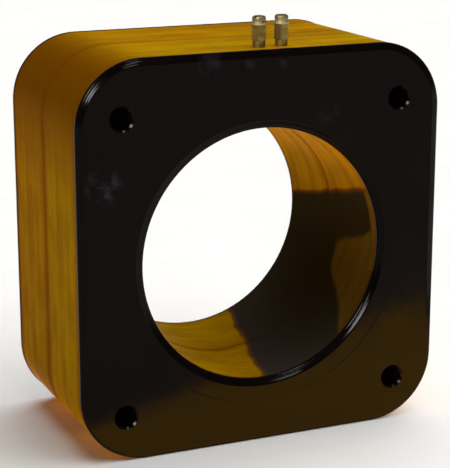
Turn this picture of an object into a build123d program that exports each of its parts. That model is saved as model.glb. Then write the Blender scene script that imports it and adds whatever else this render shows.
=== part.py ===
from build123d import *
import math
import os

# Window-type current transformer, in millimetres. It stands on its bottom face at Z = 0, its front plate
# faces -Y, the window runs along Y, and the origin is under the middle of the block.

# The block: a rounded square round the core and its window, with more room above for the terminals
window_radius = 84.0
core_build = 19.2
head_margin = 7.0
block_depth = 134.0
corner_radius = 44.5

# End plates: moulded, with a rounded outer edge, a rounded window lip and a shallow sunk ring round it
plate_thickness = 9.0
plate_edge_radius = 2.0
lip_radius = 2.0
ring_width = 16.0
ring_depth = 0.2
ring_bevel = 0.6
tape_land = 0.8
shoulder_depth = 3.0
shoulder_clearance = 0.3

# Bolt holes through the plates, and the sleeves between them
bolt_inset = 30.0
bolt_hole_radius = 7.15
hole_chamfer = 1.2
sleeve_wall = 1.85
sleeve_seat = 3.5
sleeve_clearance = 0.15

# Tape, in two widths side by side, outside and in the window
tape_thickness = 0.8
tape_step = 0.3
tape_seam = 0.5

# Case band and window tube under the tape
case_wall = 3.0
tube_wall = 3.0

# Insulation on the core, the secondary winding and its wrap
core_sleeve_wall = 1.0
core_collar_thickness = 1.5
winding_build = 4.0
turn_count = 64
turn_width = 3.2
turn_height = 1.4
wrap_thickness = 0.8
potting_inner_gap = 1.2
potting_side_gap = 3.1

# Terminal posts: a round neck below a hexagon, tapped for the terminal screw, and a threaded tail below
terminal_spacing = 15.8
terminal_offset = 10.8
neck_radius = 4.1
neck_height = 4.0
neck_clearance = 0.2
post_hex_flats = 8.7
post_hex_height = 10.0
hex_bevel = 0.6
tail_radius = 2.4
tail_spare_thread = 1.5
tail_clearance = 0.15

# Terminal screw and its washers
screw_radius = 2.0
screw_clearance = 0.05
screw_grip = 8.0
tap_spare_depth = 3.0
screw_head_radius = 4.4
screw_head_height = 3.2
screw_head_crown = 1.6
screw_slot_width = 1.2
screw_slot_depth = 1.4
screw_slot_turns = (35.0, -20.0)
clamp_washer_radius = 4.9
clamp_washer_thickness = 1.2
lock_washer_radius = 3.9
lock_washer_thickness = 1.2
lock_washer_split = 0.9
lock_washer_slant = 25.0
lock_washer_turn = 205.0
washer_hole_clearance = 0.2

# Terminal block, lug nuts, lugs and leads under the top wall
terminal_block_reach = 7.0
terminal_block_height = 14.0
lug_nut_flats = 8.0
lug_nut_height = 3.2
nut_clearance = 0.4
lug_ring_radius = 4.6
lug_thickness = 1.0
lug_barrel_radius = 2.2
lug_barrel_length = 3.5
lug_barrel_drop = 0.3
lug_to_wrap = 0.7
lead_radius = 1.1
lead_grip = 2.8
lead_fit_clearance = 0.05
lead_bend_radius = 2.5
lead_run = 5.0
lead_hole_clearance = 0.4

# How far a cutting solid runs past what it cuts
overrun = 1.0

# Sizes and places that follow from the above
case_inset = tape_step + tape_thickness
fill_inset = case_inset + case_wall
tube_inner_radius = window_radius + tape_thickness
tube_outer_radius = tube_inner_radius + tube_wall
wrap_inner_radius = tube_outer_radius + potting_inner_gap
winding_inner_radius = wrap_inner_radius + wrap_thickness
collar_inner_radius = winding_inner_radius + winding_build
core_inner_radius = collar_inner_radius + core_sleeve_wall
core_outer_radius = core_inner_radius + core_build
collar_outer_radius = core_outer_radius + core_sleeve_wall
winding_outer_radius = collar_outer_radius + winding_build
wrap_outer_radius = winding_outer_radius + wrap_thickness

block_width = 2 * (wrap_outer_radius + potting_side_gap + fill_inset)
block_height = block_width + head_margin
window_height = block_width / 2
face_y = -block_depth / 2
land_y = face_y + ring_depth + lip_radius + tape_land
inner_y = face_y + plate_thickness
shoulder_y = inner_y + shoulder_depth
sleeve_end_y = shoulder_y - sleeve_seat

sleeve_radius = bolt_hole_radius + sleeve_wall
bolt_x = block_width / 2 - bolt_inset
bolt_places = [(x, window_height + z) for x in (-bolt_x, bolt_x) for z in (-bolt_x, bolt_x)]
bolt_names = ["bottom_left", "top_left", "bottom_right", "top_right"]

lug_nut_corner = lug_nut_flats / 2 / math.cos(math.pi / 6)
terminal_setback = lug_nut_corner + nut_clearance
terminal_y = shoulder_y + terminal_setback
terminal_x = {
    "left": terminal_offset - terminal_spacing / 2,
    "right": terminal_offset + terminal_spacing / 2,
}
lead_side = {"left": -1, "right": 1}
barrel_near_y = terminal_y + terminal_setback
barrel_far_y = barrel_near_y + lug_barrel_length

wrap_y = barrel_far_y + lug_to_wrap
winding_y = wrap_y + wrap_thickness
collar_y = winding_y + winding_build
core_y = collar_y + core_collar_thickness
lead_gap_width = terminal_spacing + 2 * lead_run

block_under_z = block_height - fill_inset - terminal_block_height
lead_z = block_under_z - lug_barrel_drop - lug_barrel_radius
lead_y = winding_y + winding_build / 2
hex_z = block_height + neck_height
post_top_z = hex_z + post_hex_height
tail_end_z = block_under_z - lug_thickness - lug_nut_height - tail_spare_thread
clamp_top_z = post_top_z + clamp_washer_thickness
lock_top_z = clamp_top_z + lock_washer_thickness


def facing_front(x, y, z):
    """Plane at a point whose normal looks out of the front plate, with X across and Z up."""
    return Plane(origin=(x, y, z), x_dir=(1, 0, 0), z_dir=(0, -1, 0))


def outline(inset):
    """The block's rounded outline, drawn in by the inset all round."""
    return RectangleRounded(block_width - 2 * inset, block_height - 2 * inset, corner_radius - inset)


def along_depth(sketch, x, z, near_y, far_y):
    """A sketch seen from the front, made solid from near_y back to far_y."""
    return extrude(facing_front(x, far_y, z) * sketch, amount=far_y - near_y)


def slab(inset, near_y, far_y):
    """A slice of the block between two depths."""
    return along_depth(outline(inset), 0, block_height / 2, near_y, far_y)


def band(inset, wall, near_y, far_y):
    """A closed band that follows the block's outline."""
    return along_depth(outline(inset) - outline(inset + wall), 0, block_height / 2, near_y, far_y)


def disc(radius, near_y, far_y):
    """A round slice on the window's axis."""
    return along_depth(Circle(radius), 0, window_height, near_y, far_y)


def tube(inner_radius, outer_radius, near_y, far_y):
    """A tube or ring on the window's axis."""
    return along_depth(Circle(outer_radius) - Circle(inner_radius), 0, window_height, near_y, far_y)


def upright(radius, x, y, low_z, high_z):
    """A round bar along Z."""
    return extrude(Plane(origin=(x, y, low_z)) * Circle(radius), amount=high_z - low_z)


def turned(points, x, z):
    """A solid turned about the line along Y through X, Z, from (radius, depth) points."""
    half_section = Plane(origin=(x, 0, z)) * make_face(Polyline(*points, close=True))
    return revolve(half_section, Axis((x, 0, z), (0, 1, 0)))


def hexagon(flats, x, y, low_z, high_z):
    """A hexagonal bar along Z with its corners bevelled at both ends."""
    height = high_z - low_z
    corner = flats / 2 / math.cos(math.pi / 6)
    prism = extrude(Plane(origin=(x, y, low_z)) * RegularPolygon(flats / 2, 6, major_radius=False), amount=height)
    round_bar = upright(corner, x, y, low_z, high_z)
    rims = round_bar.edges().filter_by(GeomType.CIRCLE)
    return prism & chamfer(rims, length=hex_bevel / 2, length2=hex_bevel)


def window_cutter():
    """What the window, its lip, its sunk ring and the seats of tape and tube take out of a plate."""
    lip_edge = window_radius + lip_radius
    lip_y = face_y + ring_depth
    tube_seat = tube_outer_radius + shoulder_clearance
    far_y = shoulder_y + overrun
    ring_edge = window_radius + ring_width
    sunk_ring = Polyline(
        (0, far_y),
        (0, face_y - overrun),
        (ring_edge, face_y - overrun),
        (ring_edge, face_y),
        (ring_edge - ring_bevel, lip_y),
        (lip_edge, lip_y),
    )
    lip = RadiusArc((lip_edge, lip_y), (window_radius, lip_y + lip_radius), lip_radius)
    seats = Polyline(
        (window_radius, lip_y + lip_radius),
        (window_radius, land_y),
        (tube_inner_radius, land_y),
        (tube_inner_radius, inner_y),
        (tube_seat, inner_y),
        (tube_seat, far_y),
        (0, far_y),
    )
    half_section = Plane(origin=(0, 0, window_height)) * make_face(sunk_ring + lip + seats)
    return revolve(half_section, Axis((0, 0, window_height), (0, 1, 0)))


def bolt_cutter(x, z):
    """A bevelled bolt hole with the seat for its sleeve behind it."""
    seat = sleeve_radius + sleeve_clearance
    points = [
        (0, face_y - overrun),
        (bolt_hole_radius + hole_chamfer + overrun, face_y - overrun),
        (bolt_hole_radius, face_y + hole_chamfer),
        (bolt_hole_radius, sleeve_end_y),
        (seat, sleeve_end_y),
        (seat, shoulder_y + overrun),
        (0, shoulder_y + overrun),
    ]
    return turned(points, x, z)


def end_plate():
    """The front plate; the rear one is its mirror image."""
    rim = slab(0, face_y, land_y)
    rim = fillet(rim.edges().group_by(Axis.Y)[0], plate_edge_radius)
    web = slab(case_inset, land_y, inner_y)
    shoulder = slab(fill_inset + shoulder_clearance, inner_y, shoulder_y)
    plate = rim + web + shoulder - window_cutter()
    for x, z in bolt_places:
        plate -= bolt_cutter(x, z)
    return plate


def bolt_sleeve(x, z):
    """A steel tube that takes a mounting bolt's squeeze between the plates."""
    ring = Circle(sleeve_radius) - Circle(bolt_hole_radius)
    return along_depth(ring, x, z, sleeve_end_y, -sleeve_end_y)


def neck_holes():
    """The holes of the two posts' necks through the top wall."""
    holes = Part()
    for x in terminal_x.values():
        holes += upright(neck_radius + neck_clearance, x, terminal_y, block_under_z, block_height + overrun)
    return holes


def outer_turns():
    """The winding's outermost layer, a flat frame for each turn, spread evenly from one lead to the other."""
    flat_radius = math.sqrt(winding_outer_radius**2 - (turn_width / 2) ** 2)
    build = flat_radius - winding_inner_radius
    depth = -2 * winding_y
    sunk_height = (turn_height + winding_build) / 2
    frame = Rectangle(build, depth) - Rectangle(build - 2 * sunk_height, depth - 2 * sunk_height)
    middle_radius = (flat_radius + winding_inner_radius) / 2
    turn = extrude(Plane(origin=(middle_radius, 0, 0)) * frame, amount=turn_width / 2, both=True)
    gap_angle = math.degrees(math.asin(terminal_offset / middle_radius))
    free_angle = math.degrees(math.asin((lead_gap_width / 2 + turn_width) / winding_inner_radius))
    step = (360 - 2 * free_angle) / (turn_count - 1)
    angles = [gap_angle - 90 + free_angle + step * i for i in range(turn_count)]
    return [Pos(0, 0, window_height) * Rot(0, angle, 0) * turn for angle in angles]


def secondary_winding():
    """The turns round the core as one body, open at the top where its two ends come out."""
    inner_layers = tube(
        winding_inner_radius + turn_height,
        winding_outer_radius - turn_height,
        winding_y + turn_height,
        -winding_y - turn_height,
    )
    hollow = tube(collar_inner_radius, collar_outer_radius, collar_y, -collar_y)
    gap = Plane(origin=(terminal_offset, 0, window_height)) * Box(
        lead_gap_width, block_depth, block_width, align=(Align.CENTER, Align.CENTER, Align.MIN)
    )
    return (inner_layers - hollow - gap).fuse(*outer_turns())


def winding_wrap():
    """Insulating wrap all over the winding, with a hole for each lead."""
    full = tube(wrap_inner_radius, wrap_outer_radius, wrap_y, -wrap_y)
    hollow = tube(winding_inner_radius, winding_outer_radius, winding_y, -winding_y)
    wrap = full - hollow
    for x in terminal_x.values():
        wrap -= along_depth(Circle(lead_radius + lead_hole_clearance), x, lead_z, wrap_y - overrun, lead_y)
    return wrap


def terminal_block(solid=False):
    """The moulded block under the top wall that holds both posts."""
    near = (min(terminal_x.values()) - terminal_block_reach, shoulder_y, block_under_z)
    far = (max(terminal_x.values()) + terminal_block_reach, terminal_y + terminal_block_reach, block_height - fill_inset)
    size = [b - a for a, b in zip(near, far)]
    block = Plane(origin=near) * Box(*size, align=(Align.MIN, Align.MIN, Align.MIN))
    if solid:
        return block
    for x in terminal_x.values():
        block -= upright(neck_radius, x, terminal_y, post_shoulder_z(), block_height)
        block -= upright(tail_radius + tail_clearance, x, terminal_y, block_under_z - overrun, post_shoulder_z())
    return block


def post_shoulder_z():
    """Where a post's neck ends inside the terminal block, halfway down it."""
    return block_under_z + terminal_block_height / 2


def terminal_post(x):
    """A post: hexagon, neck, tail and the tapped hole for the terminal screw."""
    post = hexagon(post_hex_flats, x, terminal_y, hex_z, post_top_z)
    post += upright(neck_radius, x, terminal_y, post_shoulder_z(), hex_z)
    post += upright(tail_radius, x, terminal_y, tail_end_z, post_shoulder_z())
    tap_end_z = post_top_z - screw_grip - tap_spare_depth
    return post - upright(screw_radius + screw_clearance, x, terminal_y, tap_end_z, post_top_z + overrun)


def clamp_washer(x):
    """The flat washer that presses a wire end on the post."""
    washer = upright(clamp_washer_radius, x, terminal_y, post_top_z, clamp_top_z)
    hole = upright(screw_radius + washer_hole_clearance, x, terminal_y, post_top_z - overrun, clamp_top_z + overrun)
    return washer - hole


def lock_washer(x):
    """The split spring washer under the screw's head, pressed flat."""
    washer = upright(lock_washer_radius, x, terminal_y, clamp_top_z, lock_top_z)
    washer -= upright(screw_radius + washer_hole_clearance, x, terminal_y, clamp_top_z - overrun, lock_top_z + overrun)
    middle_z = (clamp_top_z + lock_top_z) / 2
    split_length = lock_washer_radius + overrun
    split = Box(lock_washer_split, split_length, lock_washer_thickness + 2 * overrun)
    split = Pos(0, split_length / 2, 0) * Rot(0, lock_washer_slant, 0) * split
    return washer - Pos(x, terminal_y, middle_z) * Rot(0, 0, lock_washer_turn) * split


def terminal_screw(x, slot_turn):
    """A slotted pan-head screw."""
    crown_z = lock_top_z + screw_head_height
    head = upright(screw_head_radius, x, terminal_y, lock_top_z, crown_z)
    head = fillet(head.edges().group_by(Axis.Z)[-1], screw_head_crown)
    slot = Box(2 * (screw_head_radius + overrun), screw_slot_width, 2 * screw_slot_depth)
    head -= Pos(x, terminal_y, crown_z) * Rot(0, 0, slot_turn) * slot
    return head + upright(screw_radius, x, terminal_y, post_top_z - screw_grip, lock_top_z)


def lug_nut(x, solid=False):
    """The nut on a post's tail that holds the lug against the terminal block."""
    low_z = block_under_z - lug_thickness - lug_nut_height
    nut = hexagon(lug_nut_flats, x, terminal_y, low_z, block_under_z - lug_thickness)
    if solid:
        return nut
    return nut - upright(tail_radius, x, terminal_y, low_z - overrun, block_under_z + overrun)


def lead_lug(x, solid=False):
    """A ring lug: a flat ring and tongue, with a barrel that the lead is crimped into."""
    tongue_length = barrel_far_y - terminal_y
    tongue = Rectangle(lug_barrel_radius, tongue_length, align=(Align.CENTER, Align.MIN))
    flat = Plane(origin=(x, terminal_y, block_under_z - lug_thickness)) * (Circle(lug_ring_radius) + tongue)
    lug = extrude(flat, amount=lug_thickness)
    lug += along_depth(Circle(lug_barrel_radius), x, lead_z, barrel_near_y, barrel_far_y)
    if solid:
        return lug
    lug -= upright(tail_radius + tail_clearance, x, terminal_y, block_under_z - lug_thickness - overrun, block_under_z)
    bore = Circle(lead_radius + lead_fit_clearance)
    return lug - along_depth(bore, x, lead_z, barrel_far_y - lead_grip, barrel_far_y + overrun)


def winding_lead(x, side):
    """A lead from the winding's end, round a bend and forward into its lug; side is -1 left, +1 right."""
    start = (x + side * lead_run, lead_y, lead_z)
    bend = (x, lead_y, lead_z)
    end = (x, barrel_far_y - lead_grip, lead_z)
    path = FilletPolyline(start, bend, end, radius=lead_bend_radius)
    section = Plane(origin=start, z_dir=(-side, 0, 0)) * Circle(lead_radius)
    return sweep(section, path=path)


def potting_resin():
    """The resin that fills the case round everything sealed in it."""
    resin = slab(fill_inset, shoulder_y, -shoulder_y) - disc(tube_outer_radius, shoulder_y - overrun, overrun - shoulder_y)
    resin -= tube(wrap_inner_radius, wrap_outer_radius, wrap_y, -wrap_y)
    for x, z in bolt_places:
        resin -= along_depth(Circle(sleeve_radius), x, z, shoulder_y - overrun, overrun - shoulder_y)
    resin -= terminal_block(solid=True)
    for side, x in terminal_x.items():
        resin -= upright(tail_radius, x, terminal_y, tail_end_z, block_under_z)
        resin -= lug_nut(x, solid=True)
        resin -= lead_lug(x, solid=True)
        resin -= winding_lead(x, lead_side[side])
    return resin


def build_nodes():
    """Every piece by its node's name."""
    front_plate = end_plate()
    outer_front = band(tape_step, tape_thickness, land_y, -tape_seam / 2) - neck_holes()
    nodes = {
        "front_plate": front_plate,
        "rear_plate": mirror(front_plate, about=Plane.XZ),
        "outer_tape_front": outer_front,
        "outer_tape_rear": band(tape_step, tape_thickness, tape_seam / 2, -land_y),
        "window_tape_front": tube(window_radius, tube_inner_radius, land_y, -tape_seam / 2),
        "window_tape_rear": tube(window_radius, tube_inner_radius, tape_seam / 2, -land_y),
        "case_band": band(case_inset, case_wall, inner_y, -inner_y) - neck_holes(),
        "window_tube": tube(tube_inner_radius, tube_outer_radius, inner_y, -inner_y),
        "core": tube(core_inner_radius, core_outer_radius, core_y, -core_y),
        "core_collar_front": tube(collar_inner_radius, collar_outer_radius, collar_y, core_y),
        "core_collar_rear": tube(collar_inner_radius, collar_outer_radius, -core_y, -collar_y),
        "core_sleeve_inner": tube(collar_inner_radius, core_inner_radius, core_y, -core_y),
        "core_sleeve_outer": tube(core_outer_radius, collar_outer_radius, core_y, -core_y),
        "secondary_winding": secondary_winding(),
        "winding_wrap": winding_wrap(),
        "potting_resin": potting_resin(),
        "terminal_block": terminal_block(),
    }
    for name, (x, z) in zip(bolt_names, bolt_places):
        nodes["bolt_sleeve_" + name] = bolt_sleeve(x, z)
    for (side, x), slot_turn in zip(terminal_x.items(), screw_slot_turns):
        nodes["terminal_post_" + side] = terminal_post(x)
        nodes["clamp_washer_" + side] = clamp_washer(x)
        nodes["lock_washer_" + side] = lock_washer(x)
        nodes["terminal_screw_" + side] = terminal_screw(x, slot_turn)
        nodes["lug_nut_" + side] = lug_nut(x)
        nodes["lead_lug_" + side] = lead_lug(x)
        nodes["winding_lead_" + side] = winding_lead(x, lead_side[side])
    return nodes


os.makedirs("parts", exist_ok=True)
for node, solid in build_nodes().items():
    export_step(solid, f"parts/{node}.step")
    print(node, round(solid.volume))
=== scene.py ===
"""Window-type current transformer: the look of every surface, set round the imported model.

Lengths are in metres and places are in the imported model's own frame: the block stands on z = 0, its front
plate faces -y and its window runs along y.
"""

import logging
import math
from collections.abc import Iterable
from dataclasses import dataclass, field
from enum import Enum
from typing import Any

import bpy
from mathutils import Matrix, Vector, noise


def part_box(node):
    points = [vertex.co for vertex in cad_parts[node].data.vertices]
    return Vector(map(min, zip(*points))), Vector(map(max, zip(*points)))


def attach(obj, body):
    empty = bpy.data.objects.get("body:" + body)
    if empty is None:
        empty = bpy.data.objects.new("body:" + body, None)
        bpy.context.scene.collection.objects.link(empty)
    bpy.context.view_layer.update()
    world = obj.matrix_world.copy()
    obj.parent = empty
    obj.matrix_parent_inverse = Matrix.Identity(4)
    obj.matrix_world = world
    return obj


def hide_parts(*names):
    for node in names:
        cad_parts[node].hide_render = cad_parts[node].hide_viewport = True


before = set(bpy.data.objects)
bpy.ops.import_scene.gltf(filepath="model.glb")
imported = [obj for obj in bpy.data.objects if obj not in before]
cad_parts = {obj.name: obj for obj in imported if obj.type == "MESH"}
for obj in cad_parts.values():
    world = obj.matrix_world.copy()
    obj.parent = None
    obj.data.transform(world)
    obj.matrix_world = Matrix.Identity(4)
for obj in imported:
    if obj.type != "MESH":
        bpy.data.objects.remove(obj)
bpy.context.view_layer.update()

MM = 0.001
ROOT = "root"
PLATE_LOW, PLATE_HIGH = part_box("front_plate")
WINDOW_Z = sum(corner.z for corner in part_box("window_tube")) / 2
# A cloudy pattern runs from zero to one. Between these two values it turns from one look to the other.
CLOUD_TURN = (0.3, 0.7)

logging.basicConfig(level=logging.INFO, format="%(name)s: %(message)s")
log = logging.getLogger("transformer")


def linear(hex_colour: str) -> tuple[float, float, float, float]:
    """Turn an sRGB hex colour into the linear colour that a shader takes.

    Args:
        hex_colour: Six hex digits after a hash sign.

    Returns:
        Red, green, blue and an alpha of one, linear.
    """
    shares = [int(hex_colour[i : i + 2], 16) / 255 for i in (1, 3, 5)]
    curve = [s / 12.92 if s <= 0.04045 else ((s + 0.055) / 1.055) ** 2.4 for s in shares]
    return (*curve, 1.0)


def add_node(
    tree: bpy.types.NodeTree, kind: str, inputs: dict[Any, Any] | None = None, **settings: Any
) -> bpy.types.Node:
    """Add a node, set its properties, and give each named input a value or a link.

    Args:
        tree: The node tree that takes the node.
        kind: The node's type name.
        inputs: Socket name or number to a value, or to another node's output socket.
        **settings: The node's own properties.

    Returns:
        The new node.
    """
    node = tree.nodes.new(kind)
    for name, value in settings.items():
        setattr(node, name, value)
    for name, value in (inputs or {}).items():
        if isinstance(value, bpy.types.NodeSocket):
            tree.links.new(value, node.inputs[name])
        else:
            node.inputs[name].default_value = value
    return node


def colour_ramp(
    tree: bpy.types.NodeTree, factor: bpy.types.NodeSocket, stops: dict[float, str]
) -> bpy.types.NodeSocket:
    """Map a factor to colours.

    Args:
        tree: The node tree.
        factor: The socket with the factor.
        stops: Position on the ramp to sRGB hex colour, from low to high.

    Returns:
        The socket with the colour.
    """
    node = add_node(tree, "ShaderNodeValToRGB", {"Fac": factor})
    elements = node.color_ramp.elements
    while len(elements) < len(stops):
        elements.new(0.5)
    for element, (position, colour) in zip(elements, stops.items()):
        element.position = position
        element.color = linear(colour)
    return node.outputs["Color"]


def smooth_range(
    tree: bpy.types.NodeTree,
    value: Any,
    low: float,
    high: float,
    out_low: float = 0.0,
    out_high: float = 1.0,
) -> bpy.types.NodeSocket:
    """Ease a value from one range to another, clamped at both ends.

    Args:
        tree: The node tree.
        value: The socket with the value.
        low: The value that gives the first result.
        high: The value that gives the last result.
        out_low: The first result.
        out_high: The last result.

    Returns:
        The socket with the result.
    """
    inputs = {"Value": value, "From Min": low, "From Max": high, "To Min": out_low, "To Max": out_high}
    return add_node(tree, "ShaderNodeMapRange", inputs, interpolation_type="SMOOTHSTEP").outputs["Result"]


def blend(tree: bpy.types.NodeTree, factor: Any, first: Any, second: Any) -> bpy.types.NodeSocket:
    """Blend two colours by a factor and return the socket with the result."""
    return add_node(tree, "ShaderNodeMix", {0: factor, 6: first, 7: second}, data_type="RGBA").outputs[2]


def sum_up(tree: bpy.types.NodeTree, operation: str, *values: Any) -> bpy.types.NodeSocket:
    """Do one sum on sockets or numbers and return the socket with the result."""
    return add_node(tree, "ShaderNodeMath", dict(enumerate(values)), operation=operation).outputs[0]


def vector_sum(
    tree: bpy.types.NodeTree, operation: str, *values: Any, output: str = "Vector"
) -> bpy.types.NodeSocket:
    """Do one sum on vectors and return the socket with the result, which is "Value" for a length."""
    node = add_node(tree, "ShaderNodeVectorMath", dict(enumerate(values)), operation=operation)
    return node.outputs[output]


def axis_of(tree: bpy.types.NodeTree, place: bpy.types.NodeSocket, axis: str) -> bpy.types.NodeSocket:
    """Take one axis out of a place and return the socket with it."""
    return add_node(tree, "ShaderNodeSeparateXYZ", {0: place}).outputs[axis]


def direction(azimuth_deg: float, elevation_deg: float) -> Vector:
    """The unit vector from the block towards a viewer or a lamp.

    Args:
        azimuth_deg: Zero is in front of the block and 90 is to its right.
        elevation_deg: The angle above the floor.

    Returns:
        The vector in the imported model's frame.
    """
    azimuth, elevation = math.radians(azimuth_deg), math.radians(elevation_deg)
    level = math.cos(elevation)
    return Vector((math.sin(azimuth) * level, -math.cos(azimuth) * level, math.sin(elevation)))


def add_mesh(
    name: str, vertices: list[tuple[float, float, float]], faces: list[tuple[int, ...]]
) -> bpy.types.Object:
    """Make a mesh object.

    Args:
        name: The object's and the mesh's name.
        vertices: The places of its corners.
        faces: The corners of each face, by number.

    Returns:
        The object, linked to the scene.
    """
    mesh = bpy.data.meshes.new(name)
    mesh.from_pydata(vertices, [], faces)
    piece = bpy.data.objects.new(name, mesh)
    bpy.context.scene.collection.objects.link(piece)
    return piece


class Coordinates(Enum):
    """Where a finish's patterns take their place from."""

    OBJECT = "object"
    WRAP = "wrap"


@dataclass(frozen=True)
class Finish:
    """What every finish has: a name, and how a pattern's vector is made."""

    name: str

    def start(self) -> tuple[bpy.types.Material, bpy.types.NodeTree, bpy.types.Node]:
        """Make an empty material.

        Returns:
            The material, its tree and its main shader, which is joined to the output.
        """
        material = bpy.data.materials.new(self.name)
        material.use_nodes = True
        tree = material.node_tree
        tree.nodes.clear()
        shader = add_node(tree, "ShaderNodeBsdfPrincipled")
        add_node(tree, "ShaderNodeOutputMaterial", {"Surface": shader.outputs["BSDF"]})
        return material, tree, shader

    @staticmethod
    def place(
        tree: bpy.types.NodeTree, coordinates: Coordinates = Coordinates.OBJECT
    ) -> bpy.types.NodeSocket:
        """Give a pattern's place in metres.

        Args:
            tree: The node tree.
            coordinates: The object's own axes, or along and across a wound tape.

        Returns:
            The socket with the place.
        """
        if coordinates is Coordinates.OBJECT:
            return add_node(tree, "ShaderNodeTexCoord").outputs["Object"]
        along = add_node(tree, "ShaderNodeAttribute", attribute_name="run").outputs["Fac"]
        across = add_node(tree, "ShaderNodeAttribute", attribute_name="across").outputs["Fac"]
        return add_node(tree, "ShaderNodeCombineXYZ", {"X": along, "Y": across}).outputs["Vector"]

    @staticmethod
    def grain(
        tree: bpy.types.NodeTree,
        place: bpy.types.NodeSocket,
        sizes_mm: tuple[float, float, float],
        detail: float = 3.0,
        roughness: float = 0.55,
    ) -> bpy.types.NodeSocket:
        """A cloudy pattern whose lumps have a given size along each axis.

        Args:
            tree: The node tree.
            place: The socket with the place in metres.
            sizes_mm: The lumps' size in millimetres along each axis.
            detail: How many finer layers the pattern has.
            roughness: How strong the finer layers are.

        Returns:
            The socket with the pattern, from zero to one.
        """
        scale = tuple(1 / (size * MM) for size in sizes_mm)
        mapped = add_node(tree, "ShaderNodeMapping", {"Vector": place, "Scale": scale}).outputs["Vector"]
        inputs = {"Vector": mapped, "Scale": 1.0, "Detail": detail, "Roughness": roughness}
        return add_node(tree, "ShaderNodeTexNoise", inputs).outputs["Fac"]

    @staticmethod
    def bump(
        tree: bpy.types.NodeTree,
        layers: list[tuple[bpy.types.NodeSocket, float]],
        normal: bpy.types.NodeSocket | None = None,
    ) -> bpy.types.NodeSocket:
        """Chain bumps, each with its own height in millimetres.

        Args:
            tree: The node tree.
            layers: Pairs of a height pattern and its full height in millimetres.
            normal: The normal that the bumps start from, where it isn't the shape's own.

        Returns:
            The socket with the bumped normal.
        """
        for height, size_mm in layers:
            inputs = {"Height": height, "Distance": size_mm * MM, "Strength": 1.0}
            if normal is not None:
                inputs["Normal"] = normal
            normal = add_node(tree, "ShaderNodeBump", inputs).outputs["Normal"]
        return normal

    def two_toned(
        self,
        sizes_mm: tuple[float, float, float],
        tones: tuple[str, str],
        detail: float,
        turn: tuple[float, float] = CLOUD_TURN,
        height_mm: float | None = None,
        socket: str = "Base Color",
    ) -> tuple[bpy.types.Material, bpy.types.Node]:
        """Make a material whose colour turns from one tone to the other with one pattern.

        Args:
            sizes_mm: The pattern's size in millimetres along each axis.
            tones: The two sRGB hex colours.
            detail: How many finer layers the pattern has.
            turn: Where the pattern starts and ends to turn from one to the other.
            height_mm: How far the pattern also raises the surface, if it does.
            socket: The shader's socket that takes the colour.

        Returns:
            The material and its main shader.
        """
        material, tree, shader = self.start()
        pattern = self.grain(tree, self.place(tree), sizes_mm, detail=detail)
        tree.links.new(colour_ramp(tree, pattern, dict(zip(turn, tones))), shader.inputs[socket])
        if height_mm is not None:
            tree.links.new(self.bump(tree, [(pattern, height_mm)]), shader.inputs["Normal"])
        return material, shader


@dataclass(frozen=True)
class Scuff:
    """A faint grey mark that handling left on the front plate, plain in its core and faint further out."""

    x: float
    z: float
    radius: float
    strength: float
    core_share: float = 0.3


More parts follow.
